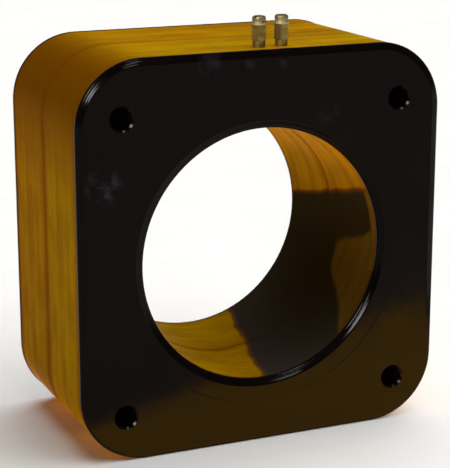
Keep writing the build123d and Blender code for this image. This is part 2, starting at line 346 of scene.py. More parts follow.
@dataclass(frozen=True)
class SoftRoll:
    """The soft roll of a plate's faces towards the window and towards the outside.

    The gloss catches a lamp on it as a short bright streak. The roll is drawn in the normals alone, a little
    way in from the plate's own rounded edges. Towards the outside it fades out below mid-height.
    """

    window_z: float = WINDOW_Z
    half_width: float = PLATE_HIGH.x
    half_height: float = PLATE_HIGH.z / 2
    corner: float = 44.5 * MM
    lip: tuple[float, float] = (85.2 * MM, 89.4 * MM)
    rim: tuple[float, float] = (1.2 * MM, 4.9 * MM)
    fade: tuple[float, float] = (60.0 * MM, 120.0 * MM)
    steepness: float = 1.08
    # The polished skin all but hides the sunk ring's border, between these two ways from the window's axis.
    border: tuple[float, float] = (98.6 * MM, 100.8 * MM)
    border_flatness: float = 0.75

    def even_normal(self, tree: bpy.types.NodeTree, place: bpy.types.NodeSocket) -> bpy.types.NodeSocket:
        """The shape's normal, laid flatter on the border of the sunk ring.

        Args:
            tree: The node tree.
            place: The socket with the place in metres.

        Returns:
            The socket with the normal.
        """
        start, end = self.border
        from_axis = self.from_axis(tree, place)
        on_border = sum_up(tree, "COMPARE", from_axis, (start + end) / 2, (end - start) / 2)
        lean = sum_up(tree, "SUBTRACT", 1.0, sum_up(tree, "MULTIPLY", on_border, self.border_flatness))
        share = add_node(tree, "ShaderNodeCombineXYZ", {"X": lean, "Y": 1.0, "Z": lean}).outputs["Vector"]
        normal = add_node(tree, "ShaderNodeNewGeometry").outputs["Normal"]
        return vector_sum(tree, "NORMALIZE", vector_sum(tree, "MULTIPLY", normal, share))

    def from_axis(self, tree: bpy.types.NodeTree, place: bpy.types.NodeSocket) -> bpy.types.NodeSocket:
        """The way from the window's axis."""
        axis = (0.0, 0.0, self.window_z)
        return vector_sum(tree, "DISTANCE", self.flat(tree, place), axis, output="Value")

    @staticmethod
    def flat(tree: bpy.types.NodeTree, place: bpy.types.NodeSocket) -> bpy.types.NodeSocket:
        """A place with its depth left out."""
        return vector_sum(tree, "MULTIPLY", place, (1.0, 0.0, 1.0))

    def layers(
        self, tree: bpy.types.NodeTree, place: bpy.types.NodeSocket
    ) -> list[tuple[bpy.types.NodeSocket, float]]:
        """Make the roll's two heights.

        Args:
            tree: The node tree.
            place: The socket with the place in metres.

        Returns:
            Pairs of a height pattern and its full height in millimetres, for the window and the outside.
        """
        middle = (0.0, 0.0, self.half_height)
        beyond = vector_sum(tree, "ABSOLUTE", vector_sum(tree, "SUBTRACT", self.flat(tree, place), middle))
        straight = (self.half_width - self.corner, 0.0, self.half_height - self.corner)
        beyond = vector_sum(tree, "SUBTRACT", beyond, straight)
        beyond = vector_sum(tree, "MAXIMUM", beyond, (0.0, 0.0, 0.0))
        inside = sum_up(tree, "SUBTRACT", self.corner, vector_sum(tree, "LENGTH", beyond, output="Value"))
        high_up = smooth_range(tree, axis_of(tree, place, "Z"), *self.fade)
        rim_fall = sum_up(tree, "MULTIPLY", smooth_range(tree, inside, *self.rim, 1.0, 0.0), high_up)
        return [
            (smooth_range(tree, self.from_axis(tree, place), *self.lip), self.rise_mm(self.lip)),
            (sum_up(tree, "SUBTRACT", 1.0, rim_fall), self.rise_mm(self.rim)),
        ]

    def rise_mm(self, way: tuple[float, float]) -> float:
        """The height in millimetres that gives the roll its steepness in the middle of its way."""
        # There a smooth step is one and a half times as steep as on average.
        return self.steepness * (way[1] - way[0]) / 1.5 / MM


@dataclass(frozen=True)
class MouldedPhenolic(Finish):
    """Phenolic moulding compound, pressed hot in a polished mould.

    The polished mould leaves a near-black gloss. Long soft waves bend what it mirrors, and handling leaves
    it a little duller in patches, with a few grey scuffs on the front.
    """

    colour: str = "#090403"
    flow_colour: str = "#0d0705"
    scuff_colour: str = "#2f3033"
    scuffs: tuple[Scuff, ...] = (
        Scuff(x=-110.0 * MM, z=183.0 * MM, radius=15.0 * MM, strength=0.8),
        Scuff(x=-38.0 * MM, z=254.0 * MM, radius=11.0 * MM, strength=0.35),
        Scuff(x=12.0 * MM, z=251.0 * MM, radius=5.0 * MM, strength=0.5),
        Scuff(x=-11.0 * MM, z=253.0 * MM, radius=5.0 * MM, strength=0.3),
        Scuff(x=45.0 * MM, z=216.0 * MM, radius=11.0 * MM, strength=0.22),
    )
    ior: float = 1.14
    gloss: tuple[float, float] = (0.10, 0.24)
    # The compound's flow shifts the colour and handling dulls the gloss, both in soft patches. A scuff's rub
    # is finer and more broken.
    flow_mm: float = 60.0
    handling_mm: float = 22.0
    patch_turn: tuple[float, float] = (0.35, 0.75)
    rub_mm: float = 9.0
    rub_turn: tuple[float, float] = (0.4, 0.65)
    # The skin's fine orange peel and its long waves: how wide and how high they are.
    peel_mm: float = 2.6
    peel_height_mm: float = 0.006
    wave_mm: float = 38.0
    wave_height_mm: float = 0.10
    roll: SoftRoll = SoftRoll()

    def material(self) -> bpy.types.Material:
        """Build the material and return it."""
        material, tree, shader = self.start()
        place = self.place(tree)
        flow = self.grain(tree, place, (self.flow_mm,) * 3, detail=4.0)
        handling = self.grain(tree, place, (self.handling_mm,) * 3, detail=5.0, roughness=0.6)
        peel = self.grain(tree, place, (self.peel_mm,) * 3, detail=1.0)
        wave = self.grain(tree, place, (self.wave_mm,) * 3, detail=1.0)
        low, high = self.patch_turn
        colour = colour_ramp(tree, flow, {low: self.colour, high: self.flow_colour})
        rubbed = smooth_range(tree, self.grain(tree, place, (self.rub_mm,) * 3, detail=3.0), *self.rub_turn)
        for scuff in self.scuffs:
            away = vector_sum(tree, "DISTANCE", place, (scuff.x, PLATE_LOW.y, scuff.z), output="Value")
            core = scuff.core_share * scuff.radius
            near = smooth_range(tree, away, core, scuff.radius, scuff.strength, 0.0)
            colour = blend(tree, sum_up(tree, "MULTIPLY", near, rubbed), colour, linear(self.scuff_colour))
        roughness = smooth_range(tree, handling, low, high, *self.gloss)
        layers = [(wave, self.wave_height_mm), (peel, self.peel_height_mm), *self.roll.layers(tree, place)]
        normal = self.bump(tree, layers, self.roll.even_normal(tree, place))
        tree.links.new(colour, shader.inputs["Base Color"])
        tree.links.new(roughness, shader.inputs["Roughness"])
        tree.links.new(normal, shader.inputs["Normal"])
        shader.inputs["IOR"].default_value = self.ior
        return material


@dataclass(frozen=True)
class PaintedTurnShade:
    """Painted shade on the tape's top left turn, drawn darker and browner than the top and the side.

    Places along the wrap are measured from the block's lowest middle point and rise on the right.
    """

    start: float = 536.0 * MM
    darkest_from: float = 590.0 * MM
    darkest_to: float = 606.0 * MM
    end: float = 692.0 * MM
    strength: float = 0.95
    colour: str = "#774500"

    def mask(self, tree: bpy.types.NodeTree, place: bpy.types.NodeSocket) -> bpy.types.NodeSocket:
        """The painted shade's share of the surface.

        Args:
            tree: The node tree.
            place: The socket with the place along and across the tape.

        Returns:
            The socket with zero away from the turn and its strength on it.
        """
        along = axis_of(tree, place, "X")
        rise = smooth_range(tree, along, self.start, self.darkest_from, 0.0, self.strength)
        fall = smooth_range(tree, along, self.darkest_to, self.end, 1.0, 0.0)
        return sum_up(tree, "MULTIPLY", rise, fall)


@dataclass(frozen=True)
class PaintedWindowShade:
    """Painted shade on the window's lining: a dark stretch drawn where the lining lies in shade.

    Places along the wrap are measured from the window's lowest point and rise on the right as seen from the
    front. Each end of the painted shade leans by a share of the depth. As painted light, the shade is cut
    back in a patch near the front, and also at the front rim above that patch. Its soft border is tinted
    red-brown.
    """

    start: float = 17.0 * MM
    start_lean: float = 0.245
    end: float = 154.0 * MM
    end_lean: float = -0.24
    patch_start: float = 109.0 * MM
    patch_start_lean: float = 0.72
    patch_end: float = 113.5 * MM
    patch_end_lean: float = -0.40
    patch_far_y: float = -9.0 * MM
    patch_shade_cut: float = 0.30
    rim_y: float = -57.0 * MM
    rim_shade_cut: float = 0.5
    soft: float = 2.6 * MM
    wander: float = 2.0 * MM
    wander_mm: tuple[float, float, float] = (45.0, 30.0, 1.0)
    wander_turn: tuple[float, float] = (0.25, 0.75)
    shade_border_colour: str = "#6a2c00"
    shade_border_share: float = 0.8

    def masks(
        self, tree: bpy.types.NodeTree, place: bpy.types.NodeSocket, finish: Finish
    ) -> tuple[bpy.types.NodeSocket, bpy.types.NodeSocket]:
        """The shares of the surface that the painted shade and its border take.

        Args:
            tree: The node tree.
            place: The socket with the place along and across the tape.
            finish: The finish that the painted shade lies on, for its patterns.

        Returns:
            The socket with zero outside the painted shade and one inside, and the socket with the border's
            share.
        """
        wobble = finish.grain(tree, place, self.wander_mm, detail=1.0)
        shift = smooth_range(tree, wobble, *self.wander_turn, -self.wander, self.wander)
        along = sum_up(tree, "ADD", axis_of(tree, place, "X"), shift)
        depth = axis_of(tree, finish.place(tree), "Y")

        def between(start: float, start_lean: float, end: float, end_lean: float) -> bpy.types.NodeSocket:
            """One between two leaning lines, and zero beyond them."""
            rise = self.step(tree, sum_up(tree, "MULTIPLY_ADD", depth, -start_lean, along), start)
            fall = self.step(tree, sum_up(tree, "MULTIPLY_ADD", depth, -end_lean, along), end)
            return sum_up(tree, "MULTIPLY", rise, sum_up(tree, "SUBTRACT", 1.0, fall))

        def in_front_of(y: float) -> bpy.types.NodeSocket:
            """One nearer the front plate than a depth, and zero beyond it."""
            return sum_up(tree, "SUBTRACT", 1.0, self.step(tree, depth, y))

        # Painted shade, cut back as painted light in a patch near the front and in a strip along the front
        # rim.
        painted_shade = between(self.start, self.start_lean, self.end, self.end_lean)
        patch = between(self.patch_start, self.patch_start_lean, self.patch_end, self.patch_end_lean)
        patch = sum_up(tree, "MULTIPLY", patch, in_front_of(self.patch_far_y))
        patch = sum_up(tree, "MULTIPLY", patch, self.patch_shade_cut)
        rim = sum_up(tree, "MULTIPLY", in_front_of(self.rim_y), self.step(tree, along, self.patch_start))
        rim = sum_up(tree, "MULTIPLY", rim, self.rim_shade_cut)
        kept = sum_up(tree, "SUBTRACT", 1.0, sum_up(tree, "MAXIMUM", patch, rim))
        # A share times what it leaves peaks at a quarter, half-way across the border.
        border = sum_up(tree, "MULTIPLY", painted_shade, sum_up(tree, "SUBTRACT", 1.0, painted_shade))
        border = sum_up(tree, "MULTIPLY", border, self.shade_border_share / 0.25)
        return sum_up(tree, "MULTIPLY", painted_shade, kept), border

    def step(self, tree: bpy.types.NodeTree, value: Any, at: float) -> bpy.types.NodeSocket:
        """Zero below a value and one above it, with a soft step."""
        return smooth_range(tree, value, at - self.soft, at + self.soft)


@dataclass(frozen=True)
class VarnishedTape(Finish):
    """Woven glass tape, wound by hand and brushed with insulating varnish.

    The varnish turns the cloth a glossy golden brown. It runs lighter and darker in streaks along the tape,
    gathers dark at the edges, and the weave shows through it as a fine grain.
    """

    light: str = "#b08700"
    middle: str = "#a47b00"
    dark: str = "#8f6600"
    edge: str = "#783c00"
    edge_mm: float = 8.0
    edge_start_share: float = 0.1
    # The varnish gathers more strongly past the top left turn, between these two places along the wrap.
    edge_shares: tuple[float, float] = (0.34, 0.72)
    edge_turn: tuple[float, float] = (565.0 * MM, 640.0 * MM)
    ior: float = 1.012
    gloss: tuple[float, float] = (0.20, 0.36)
    # The real threads lie about 0.4 mm apart, too fine to show in the picture, so the weave is drawn three
    # times as coarse.
    thread_mm: float = 1.2
    weave_shade: float = 0.10
    weave_height_mm: float = 0.015
    # Each pattern's size along and across the tape. It lies flat, so the third size isn't used.
    streak_mm: tuple[float, float, float] = (260.0, 2.2, 1.0)
    band_mm: tuple[float, float, float] = (180.0, 14.0, 1.0)
    cloud_mm: tuple[float, float, float] = (38.0, 22.0, 1.0)
    brush_mm: tuple[float, float, float] = (30.0, 3.5, 1.0)
    brush_height_mm: float = 0.05
    # Three patterns are added up, and the colour turns between these two sums.
    sum_turn: tuple[float, float] = (1.1, 1.95)
    # The colours of the painted shade on the window's lining, low and high along the wrap.
    painted_shade_low: str = "#332e29"
    painted_shade_high: str = "#2b250f"
    painted_shade: PaintedWindowShade | None = None
    turn_shade: PaintedTurnShade | None = None

    def material(self) -> bpy.types.Material:
        """Build the material and return it."""
        material, tree, shader = self.start()
        place = self.place(tree, Coordinates.WRAP)
        streaks = self.grain(tree, place, self.streak_mm, detail=4.0, roughness=0.6)
        bands = self.grain(tree, place, self.band_mm, detail=2.0)
        clouds = self.grain(tree, place, self.cloud_mm, detail=3.0)
        mixed = sum_up(tree, "ADD", sum_up(tree, "ADD", streaks, bands), clouds)
        level = smooth_range(tree, mixed, *self.sum_turn)
        colour = colour_ramp(tree, level, {0.0: self.dark, 0.5: self.middle, 1.0: self.light})
        weave = self.weave(tree, place)
        shade = smooth_range(tree, weave, 0.0, 1.0, 0.0, self.weave_shade)
        colour = blend(tree, shade, colour, linear(self.dark))
        edge = add_node(tree, "ShaderNodeAttribute", attribute_name="edge").outputs["Fac"]
        reach = self.edge_mm * MM
        nearness = smooth_range(tree, edge, self.edge_start_share * reach, reach, 1.0, 0.0)
        along = axis_of(tree, place, "X")
        gathered = smooth_range(tree, along, *self.edge_turn, *self.edge_shares)
        colour = blend(tree, sum_up(tree, "MULTIPLY", nearness, gathered), colour, linear(self.edge))
        # Painted shade on the tape's top left turn.
        if self.turn_shade is not None:
            colour = blend(tree, self.turn_shade.mask(tree, place), colour, linear(self.turn_shade.colour))
        # Painted shade on the window's lining, with a red-brown border; its colour shifts along the wrap.
        if self.painted_shade is not None:
            height = smooth_range(tree, along, self.painted_shade.start, self.painted_shade.patch_end)
            shade_colour = blend(tree, height, linear(self.painted_shade_low), linear(self.painted_shade_high))
            painted_shade, border = self.painted_shade.masks(tree, place, self)
            colour = blend(tree, border, colour, linear(self.painted_shade.shade_border_colour))
            colour = blend(tree, painted_shade, colour, shade_colour)
        tree.links.new(colour, shader.inputs["Base Color"])
        roughness = smooth_range(tree, clouds, *CLOUD_TURN, *self.gloss)
        tree.links.new(roughness, shader.inputs["Roughness"])
        brush = self.grain(tree, place, self.brush_mm, detail=2.0)
        normal = self.bump(tree, [(brush, self.brush_height_mm), (weave, self.weave_height_mm)])
        tree.links.new(normal, shader.inputs["Normal"])
        shader.inputs["IOR"].default_value = self.ior
        return material

    def weave(self, tree: bpy.types.NodeTree, place: bpy.types.NodeSocket) -> bpy.types.NodeSocket:
        """Plain weave, as two sets of ridges that cross.

        Args:
            tree: The node tree.
            place: The socket with the place along and across the tape.

        Returns:
            The socket with the weave's height, from zero to one.
        """
        turns = math.pi / (self.thread_mm * MM)
        waves = []
        for axis in ("X", "Y"):
            waves.append(sum_up(tree, "SINE", sum_up(tree, "MULTIPLY", axis_of(tree, place, axis), turns)))
        return smooth_range(tree, sum_up(tree, "MULTIPLY", *waves), -1.0, 1.0)


@dataclass(frozen=True)
class PlatedMetal(Finish):
    """Turned metal under thin plating.

    Turning leaves fine rings and a soft shine, and the plating dulls to a browner tint in patches.
    """

    bright: str = "#95804a"
    dull: str = "#73602f"
    gloss: tuple[float, float] = (0.46, 0.62)
    ring_mm: float = 0.5
    ring_reach_mm: float = 8.0
    ring_height_mm: float = 0.03
    spot_mm: float = 9.0
    spot_turn: tuple[float, float] = (0.38, 0.62)

    def material(self) -> bpy.types.Material:
        """Build the material and return it."""
        material, tree, shader = self.start()
        place = self.place(tree)
        spots = self.grain(tree, place, (self.spot_mm,) * 3, detail=2.0)
        rings = self.grain(tree, place, (self.ring_reach_mm, self.ring_reach_mm, self.ring_mm), detail=1.0)
        colour = colour_ramp(tree, spots, dict(zip(self.spot_turn, (self.dull, self.bright))))
        roughness = smooth_range(tree, spots, *CLOUD_TURN, *reversed(self.gloss))
        tree.links.new(colour, shader.inputs["Base Color"])
        tree.links.new(roughness, shader.inputs["Roughness"])
        tree.links.new(self.bump(tree, [(rings, self.ring_height_mm)]), shader.inputs["Normal"])
        shader.inputs["Metallic"].default_value = 1.0
        return material


@dataclass(frozen=True)
class LayeredBoard(Finish):
    """Paper or cloth board, pressed in layers.

    It is matt, fibrous, and shows its layers as fine lines along its edge.
    """

    light: str = "#a98457"
    dark: str = "#8a6540"
    roughness: float = 0.7
    layer_mm: float = 0.6
    fibre_mm: float = 5.0
    fibre_height_mm: float = 0.04

    def material(self) -> bpy.types.Material:
        """Build the material and return it."""
        sizes = (self.fibre_mm, self.layer_mm, self.fibre_mm)
        tones = (self.dark, self.light)
        material, shader = self.two_toned(sizes, tones, detail=4.0, height_mm=self.fibre_height_mm)
        shader.inputs["Roughness"].default_value = self.roughness
        return material


@dataclass(frozen=True)
class Wound(Finish):
    """Metal strip or wire wound in turns.

    Each turn catches its own line of light, so the piece is finely lined along the winding.
    """

    light: str = "#9aa0a6"
    dark: str = "#6e7378"
    metallic: float = 1.0
    roughness: float = 0.4
    turn_mm: float = 0.8
    turn_height_mm: float = 0.1
    turn_edge: tuple[float, float] = (0.35, 0.65)
    reach_mm: float = 40.0

    def material(self) -> bpy.types.Material:
        """Build the material and return it."""
        sizes = (self.turn_mm, self.reach_mm, self.reach_mm)
        tones = (self.dark, self.light)
        material, shader = self.two_toned(
            sizes, tones, detail=2.0, turn=self.turn_edge, height_mm=self.turn_height_mm
        )
        shader.inputs["Metallic"].default_value = self.metallic
        shader.inputs["Roughness"].default_value = self.roughness
        return material


@dataclass(frozen=True)
class CastResin(Finish):
    """Filled epoxy resin, poured and cured.

    It is dark and even, with a faint cloud where the filler settled.
    """

    light: str = "#2c241a"
    dark: str = "#1c1610"
    roughness: float = 0.45
    cloud_mm: float = 14.0
    cloud_height_mm: float = 0.1

    def material(self) -> bpy.types.Material:
        """Build the material and return it."""
        sizes = (self.cloud_mm,) * 3
        tones = (self.dark, self.light)
        material, shader = self.two_toned(sizes, tones, detail=4.0, height_mm=self.cloud_height_mm)
        shader.inputs["Roughness"].default_value = self.roughness
        return material


@dataclass(frozen=True)
class PaintedBoard(Finish):
    """The studio floor: board with matt white paint, which shows as a faint roller grain."""

    light: str = "#f1f0ee"
    dark: str = "#ecebe8"
    roughness: float = 0.9
    cloud_mm: float = 120.0

    def material(self) -> bpy.types.Material:
        """Build the material and return it."""
        material, shader = self.two_toned((self.cloud_mm,) * 3, (self.dark, self.light), detail=5.0)
        shader.inputs["Roughness"].default_value = self.roughness
        shader.inputs["Specular IOR Level"].default_value = 0.0
        return material


@dataclass
class RoundedOutline:
    """The block's rounded outline, walked from its lowest middle point, first to the right.

    The normal points out of the block.
    """

    half_width: float
    half_height: float
    corner: float
    centre_z: float

    def length(self) -> float:
        """The whole way round."""
        straight = 4 * (self.half_width + self.half_height - 2 * self.corner)
        return straight + 2 * math.pi * self.corner

    def legs(self) -> list[tuple[Vector, float, float]]:
        """The straight stretches: where each starts, its heading in degrees and its length."""
        across = self.half_width - self.corner
        up = self.half_height - self.corner
        return [
            (Vector((0.0, -self.half_height)), 0.0, across),
            (Vector((self.half_width, -up)), 90.0, 2 * up),
            (Vector((across, self.half_height)), 180.0, 2 * across),
            (Vector((-self.half_width, up)), 270.0, 2 * up),
            (Vector((-across, -self.half_height)), 0.0, across),
        ]

    def point(self, run: float) -> tuple[Vector, Vector]:
        """The place and normal after a stretch of the way.

        Args:
            run: The way from the lowest middle point, in metres.

        Returns:
            The place and the normal, each as x and height.
        """
        left = run % self.length()
        arc = math.pi / 2 * self.corner
        for start, heading, length in self.legs():
            ahead = Vector((math.cos(math.radians(heading)), math.sin(math.radians(heading))))
            normal = Vector((ahead.y, -ahead.x))
            if left <= length:
                return self.lifted(start + ahead * left), normal
            left -= length
            if left < arc:
                centre = start + ahead * length - normal * self.corner
                angle = math.radians(heading - 90) + left / self.corner
                normal = Vector((math.cos(angle), math.sin(angle)))
                return self.lifted(centre + normal * self.corner), normal
            left -= arc
        return self.lifted(Vector((0.0, -self.half_height))), Vector((0.0, -1.0))

    def lifted(self, place: Vector) -> Vector:
        """A place about the outline's centre, in the frame."""
        return Vector((place.x, place.y + self.centre_z))


@dataclass
class RoundWindow:
    """The window's circle, walked from its lowest point, first to the right.

    The normal points to its axis.
    """

    radius: float
    centre_z: float

    def length(self) -> float:
        """The whole way round."""
        return 2 * math.pi * self.radius

    def point(self, run: float) -> tuple[Vector, Vector]:
        """The place and normal after a stretch of the way.

        Args:
            run: The way from the lowest point, in metres.

        Returns:
            The place and the normal, each as x and height.
        """
        angle = run / self.radius - math.pi / 2
        out = Vector((math.cos(angle), math.sin(angle)))
        return Vector((out.x * self.radius, out.y * self.radius + self.centre_z)), -out


@dataclass
class TapeWrap:
    """One width of tape wound round a path, as a closed shell with laps, ripples and a soft edge."""

    name: str
    node: str
    slot: str
    path: RoundedOutline | RoundWindow
    near_y: float
    far_y: float
    thickness: float
    seam_at_far: bool
    seed: float
    start_run: float = 0.0
    seam_wander: float = 0.5 * MM
    seam_wave: float = 45.0 * MM
    steps_round: int = 560
    steps_across: int = 34
    edge_radius: float = 0.08 * MM
    edge_angles_deg: tuple[float, ...] = (80.0, 45.0, 15.0)
    # Long ripples and fine streaks: how deep they are, how wide across the tape, and how far round the wrap
    # they change, as the radius of a loop through the noise.
    ripple: float = 0.10 * MM
    ripple_width: float = 24.0 * MM
    ripple_loop: float = 6.0
    streak: float = 0.035 * MM
    streak_width: float = 2.4 * MM
    streak_loop: float = 2.5
    # Laps: the share of the width where each layer ends, how far it steps down, and how its edge wanders.
    lap_shares: tuple[float, ...] = (0.36, 0.71)
    lap_rise: float = 0.10 * MM
    lap_lip: float = 0.6 * MM
    lap_run_out: float = 6.0 * MM
    lap_wander: float = 0.9 * MM
    lap_loop: float = 3.0
    lap_seed: float = 5.0

    def seam_y(self, run: float) -> float:
        """The depth of the edge at the seam, which wanders a little along the way."""
        base = self.far_y if self.seam_at_far else self.near_y
        angle = 2 * math.pi * run / self.path.length()
        turn = self.path.length() / (2 * math.pi * self.seam_wave)
        place = Vector((math.cos(angle) * turn, math.sin(angle) * turn, 0.0))
        return base + self.seam_wander * noise.noise(place)

    def sink(self, run: float, across: float, width: float) -> float:
        """How far the surface lies below the solid's own, never above it.

        Args:
            run: The way round, in metres.
            across: The way across the tape from its front edge, in metres.
            width: The tape's width there.

        Returns:
            The sink in metres.
        """
        angle = 2 * math.pi * run / self.path.length()
        loop = Vector((math.cos(angle), math.sin(angle), 0.0))
        depth = 0.0
        for full, pattern_width, pattern_loop in (
            (self.ripple, self.ripple_width, self.ripple_loop),
            (self.streak, self.streak_width, self.streak_loop),
        ):
            place = Vector((*(loop.xy * pattern_loop), across / pattern_width + self.seed))
            # The noise runs from minus one to one, and the depth from zero to its full value.
            depth += full * (1 + noise.noise(place)) / 2
        for i, share in enumerate(self.lap_shares):
            place = Vector((*(loop.xy * self.lap_loop), self.seed + self.lap_seed + i))
            past = across - share * width - self.lap_wander * noise.noise(place)
            if past > 0:
                depth += self.lap_rise * math.exp(-past / self.lap_run_out) * min(1.0, past / self.lap_lip)
        return depth

    def rounding(self, angle_deg: float) -> tuple[float, float]:
        """How far in from the tape's edge, and how far down, its rounded edge is at an angle."""
        angle = math.radians(angle_deg)
        return self.edge_radius * (1 - math.sin(angle)), self.edge_radius * (1 - math.cos(angle))

    def section(self, run: float) -> list[tuple[float, float, float]]:
        """The closed section at one place: depth, sink and the way across for each point."""
        near = self.near_y if self.seam_at_far else self.seam_y(run)
        far = self.seam_y(run) if self.seam_at_far else self.far_y
        width = far - near
        edge = [self.rounding(angle_deg) for angle_deg in self.edge_angles_deg]
        flat = width - 2 * self.edge_radius
        surface = [
            *edge,
            *((self.edge_radius + flat * i / self.steps_across, 0.0) for i in range(1, self.steps_across)),
            *((width - inset, drop) for inset, drop in reversed(edge)),
        ]
        points = [(near + across, self.sink(run, across, width) + drop, across) for across, drop in surface]
        return [*points, (far, self.thickness, width), (near, self.thickness, 0.0)]

    def build(self) -> bpy.types.Object:
        """Build the shell with its surface coordinates.

        Returns:
            The object, linked to the scene.
        """
        vertices, acrosses, edges = [], [], []
        length = self.path.length()
        stops = [self.start_run + length * i / self.steps_round for i in range(self.steps_round + 1)]
        for run in stops[:-1]:
            place, normal = self.path.point(run)
            section = self.section(run)
            # The last point but one is at the far edge, so its way across is the width.
            width = section[-2][2]
            for y, sink, across in section:
                x, z = place - normal * sink
                vertices.append((x, y, z))
                acrosses.append(across)
                edges.append(min(across, width - across))
        count = len(vertices) // self.steps_round
        faces, runs = [], []
        for i in range(self.steps_round):
            here, there = i * count, (i + 1) % self.steps_round * count
            for j in range(count):
                k = (j + 1) % count
                faces.append((here + j, here + k, there + k, there + j))
                runs += [stops[i]] * 2 + [stops[i + 1]] * 2
        piece = add_mesh(self.name, vertices, faces)
        mesh = piece.data
        # The way round is kept for each face's corners, as it starts again where the wrap closes.
        mesh.attributes.new("run", "FLOAT", "CORNER").data.foreach_set("value", runs)
        for name, values in (("across", acrosses), ("edge", edges)):
            mesh.attributes.new(name, "FLOAT", "POINT").data.foreach_set("value", values)
        mesh.shade_smooth()
        mesh.validate()
        mesh.update()
        return piece


def dress(piece: bpy.types.Object, material: bpy.types.Material) -> None:
    """Give a piece one material in place of what it had."""
    piece.data.materials.clear()
    piece.data.materials.append(material)


def both(*kinds: str) -> list[str]:
    """The names of both terminals' pieces of some kinds."""
    return [f"{kind}_{side}" for kind in kinds for side in ("left", "right")]


def dress_nodes(names: Iterable[str], material: bpy.types.Material) -> None:
    """Give carried-over pieces a material and report each."""
    for name in names:
        dress(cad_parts[name], material)
        log.info("%s: %s", name, material.name)


@dataclass
class EndPlates:
    """The two moulded end plates, which are shown as modelled."""

    finish: MouldedPhenolic = MouldedPhenolic("phenolic_gloss_moulded")
    nodes: tuple[str, ...] = ("front_plate", "rear_plate")

    def build(self) -> None:
        """Dress both plates."""
        dress_nodes(self.nodes, self.finish.material())


@dataclass
class OuterTape:
    """The two widths of tape round the outside of the block."""

    corner: float = 44.2 * MM
    thickness: float = 0.8 * MM
    # Both widths carry painted shade on their top left turn.
    finish: VarnishedTape = VarnishedTape("glass_tape_varnished", turn_shade=PaintedTurnShade())
    rear_finish: VarnishedTape = VarnishedTape(
        "glass_tape_varnished_rear",
        light="#ae8100", middle="#a17300", dark="#8d5d00", turn_shade=PaintedTurnShade(),
    )

    def wrap(self, node: str, seam_at_far: bool, seed: float) -> TapeWrap:
        """One width, from its solid's own box."""
        low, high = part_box(node)
        path = RoundedOutline(high.x, (high.z - low.z) / 2, self.corner, (high.z + low.z) / 2)
        return TapeWrap(
            name=node + "_wound", node=node, slot="outer_tape", path=path, near_y=low.y, far_y=high.y,
            thickness=self.thickness, seam_at_far=seam_at_far, seed=seed,
        )

    def build(self) -> None:
        """Build and dress both widths."""
        for node, seam_at_far, seed, finish in (
            ("outer_tape_front", True, 1.0, self.finish),
            ("outer_tape_rear", False, 7.0, self.rear_finish),
        ):
            place_wrap(self.wrap(node, seam_at_far, seed), finish)


@dataclass
class WindowTape:
    """The two widths of tape that line the window."""

    # Both widths carry painted shade on the lining, cut back by painted light near the front.
    finish: VarnishedTape = VarnishedTape(
        "glass_tape_varnished_window",
        light="#a88000", middle="#997300", dark="#865f00",
        painted_shade=PaintedWindowShade(), edge_mm=5.0, edge_shares=(0.6, 0.6),
    )
    rear_finish: VarnishedTape = VarnishedTape(
        "glass_tape_varnished_window_rear",
        light="#a98300", middle="#9a7500", dark="#866000",
        painted_shade=PaintedWindowShade(), edge_mm=5.0, edge_shares=(0.6, 0.6),
    )
    thickness: float = 0.8 * MM
    seam_wander: float = 6.0 * MM
    steps_round: int = 440
    lap_shares: tuple[float, ...] = (0.55,)

    def wrap(self, node: str, seam_at_far: bool, seed: float) -> TapeWrap:
        """One width, from its solid's own box and the tube's radius."""
        low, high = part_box(node)
        path = RoundWindow(high.x - self.thickness, (high.z + low.z) / 2)
        # The wrap closes on the left, where its patterns' join is turned away from the picture.
        return TapeWrap(
            name=node + "_wound", node=node, slot="window_tape", path=path, near_y=low.y, far_y=high.y,
            thickness=self.thickness, seam_at_far=seam_at_far, seam_wander=self.seam_wander, seed=seed,
            start_run=-path.length() / 4, steps_round=self.steps_round, lap_shares=self.lap_shares,
        )

    def build(self) -> None:
        """Build and dress both widths."""
        for node, seam_at_far, seed, finish in (
            ("window_tape_front", True, 13.0, self.finish),
            ("window_tape_rear", False, 19.0, self.rear_finish),
        ):
            place_wrap(self.wrap(node, seam_at_far, seed), finish)


def place_wrap(wrap: TapeWrap, finish: VarnishedTape) -> None:
    """Build a width of tape, dress it and set it in its solid's place.

    Args:
        wrap: The width of tape.
        finish: What it is dressed in.
    """
    piece = wrap.build()
    dress(piece, finish.material())
    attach(piece, ROOT)
    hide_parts(wrap.node)
    log.info("%s stands for %s", piece.name, wrap.node)


@dataclass
class Terminals:
    """The two terminals on top: posts, washers and slotted screws."""

    post: PlatedMetal = PlatedMetal("brass_nickel_plated_turned", gloss=(0.34, 0.5))
    screw: PlatedMetal = PlatedMetal("brass_screw_tarnished", bright="#9c8f6a", dull="#796944")
    washer: PlatedMetal = PlatedMetal("steel_washer_zinc_plated", bright="#c4b48c", dull="#a9976e")

    def build(self) -> None:
        """Dress both terminals."""
        dress_nodes(both("terminal_post"), self.post.material())
        dress_nodes(both("terminal_screw"), self.screw.material())
        dress_nodes(both("clamp_washer", "lock_washer"), self.washer.material())


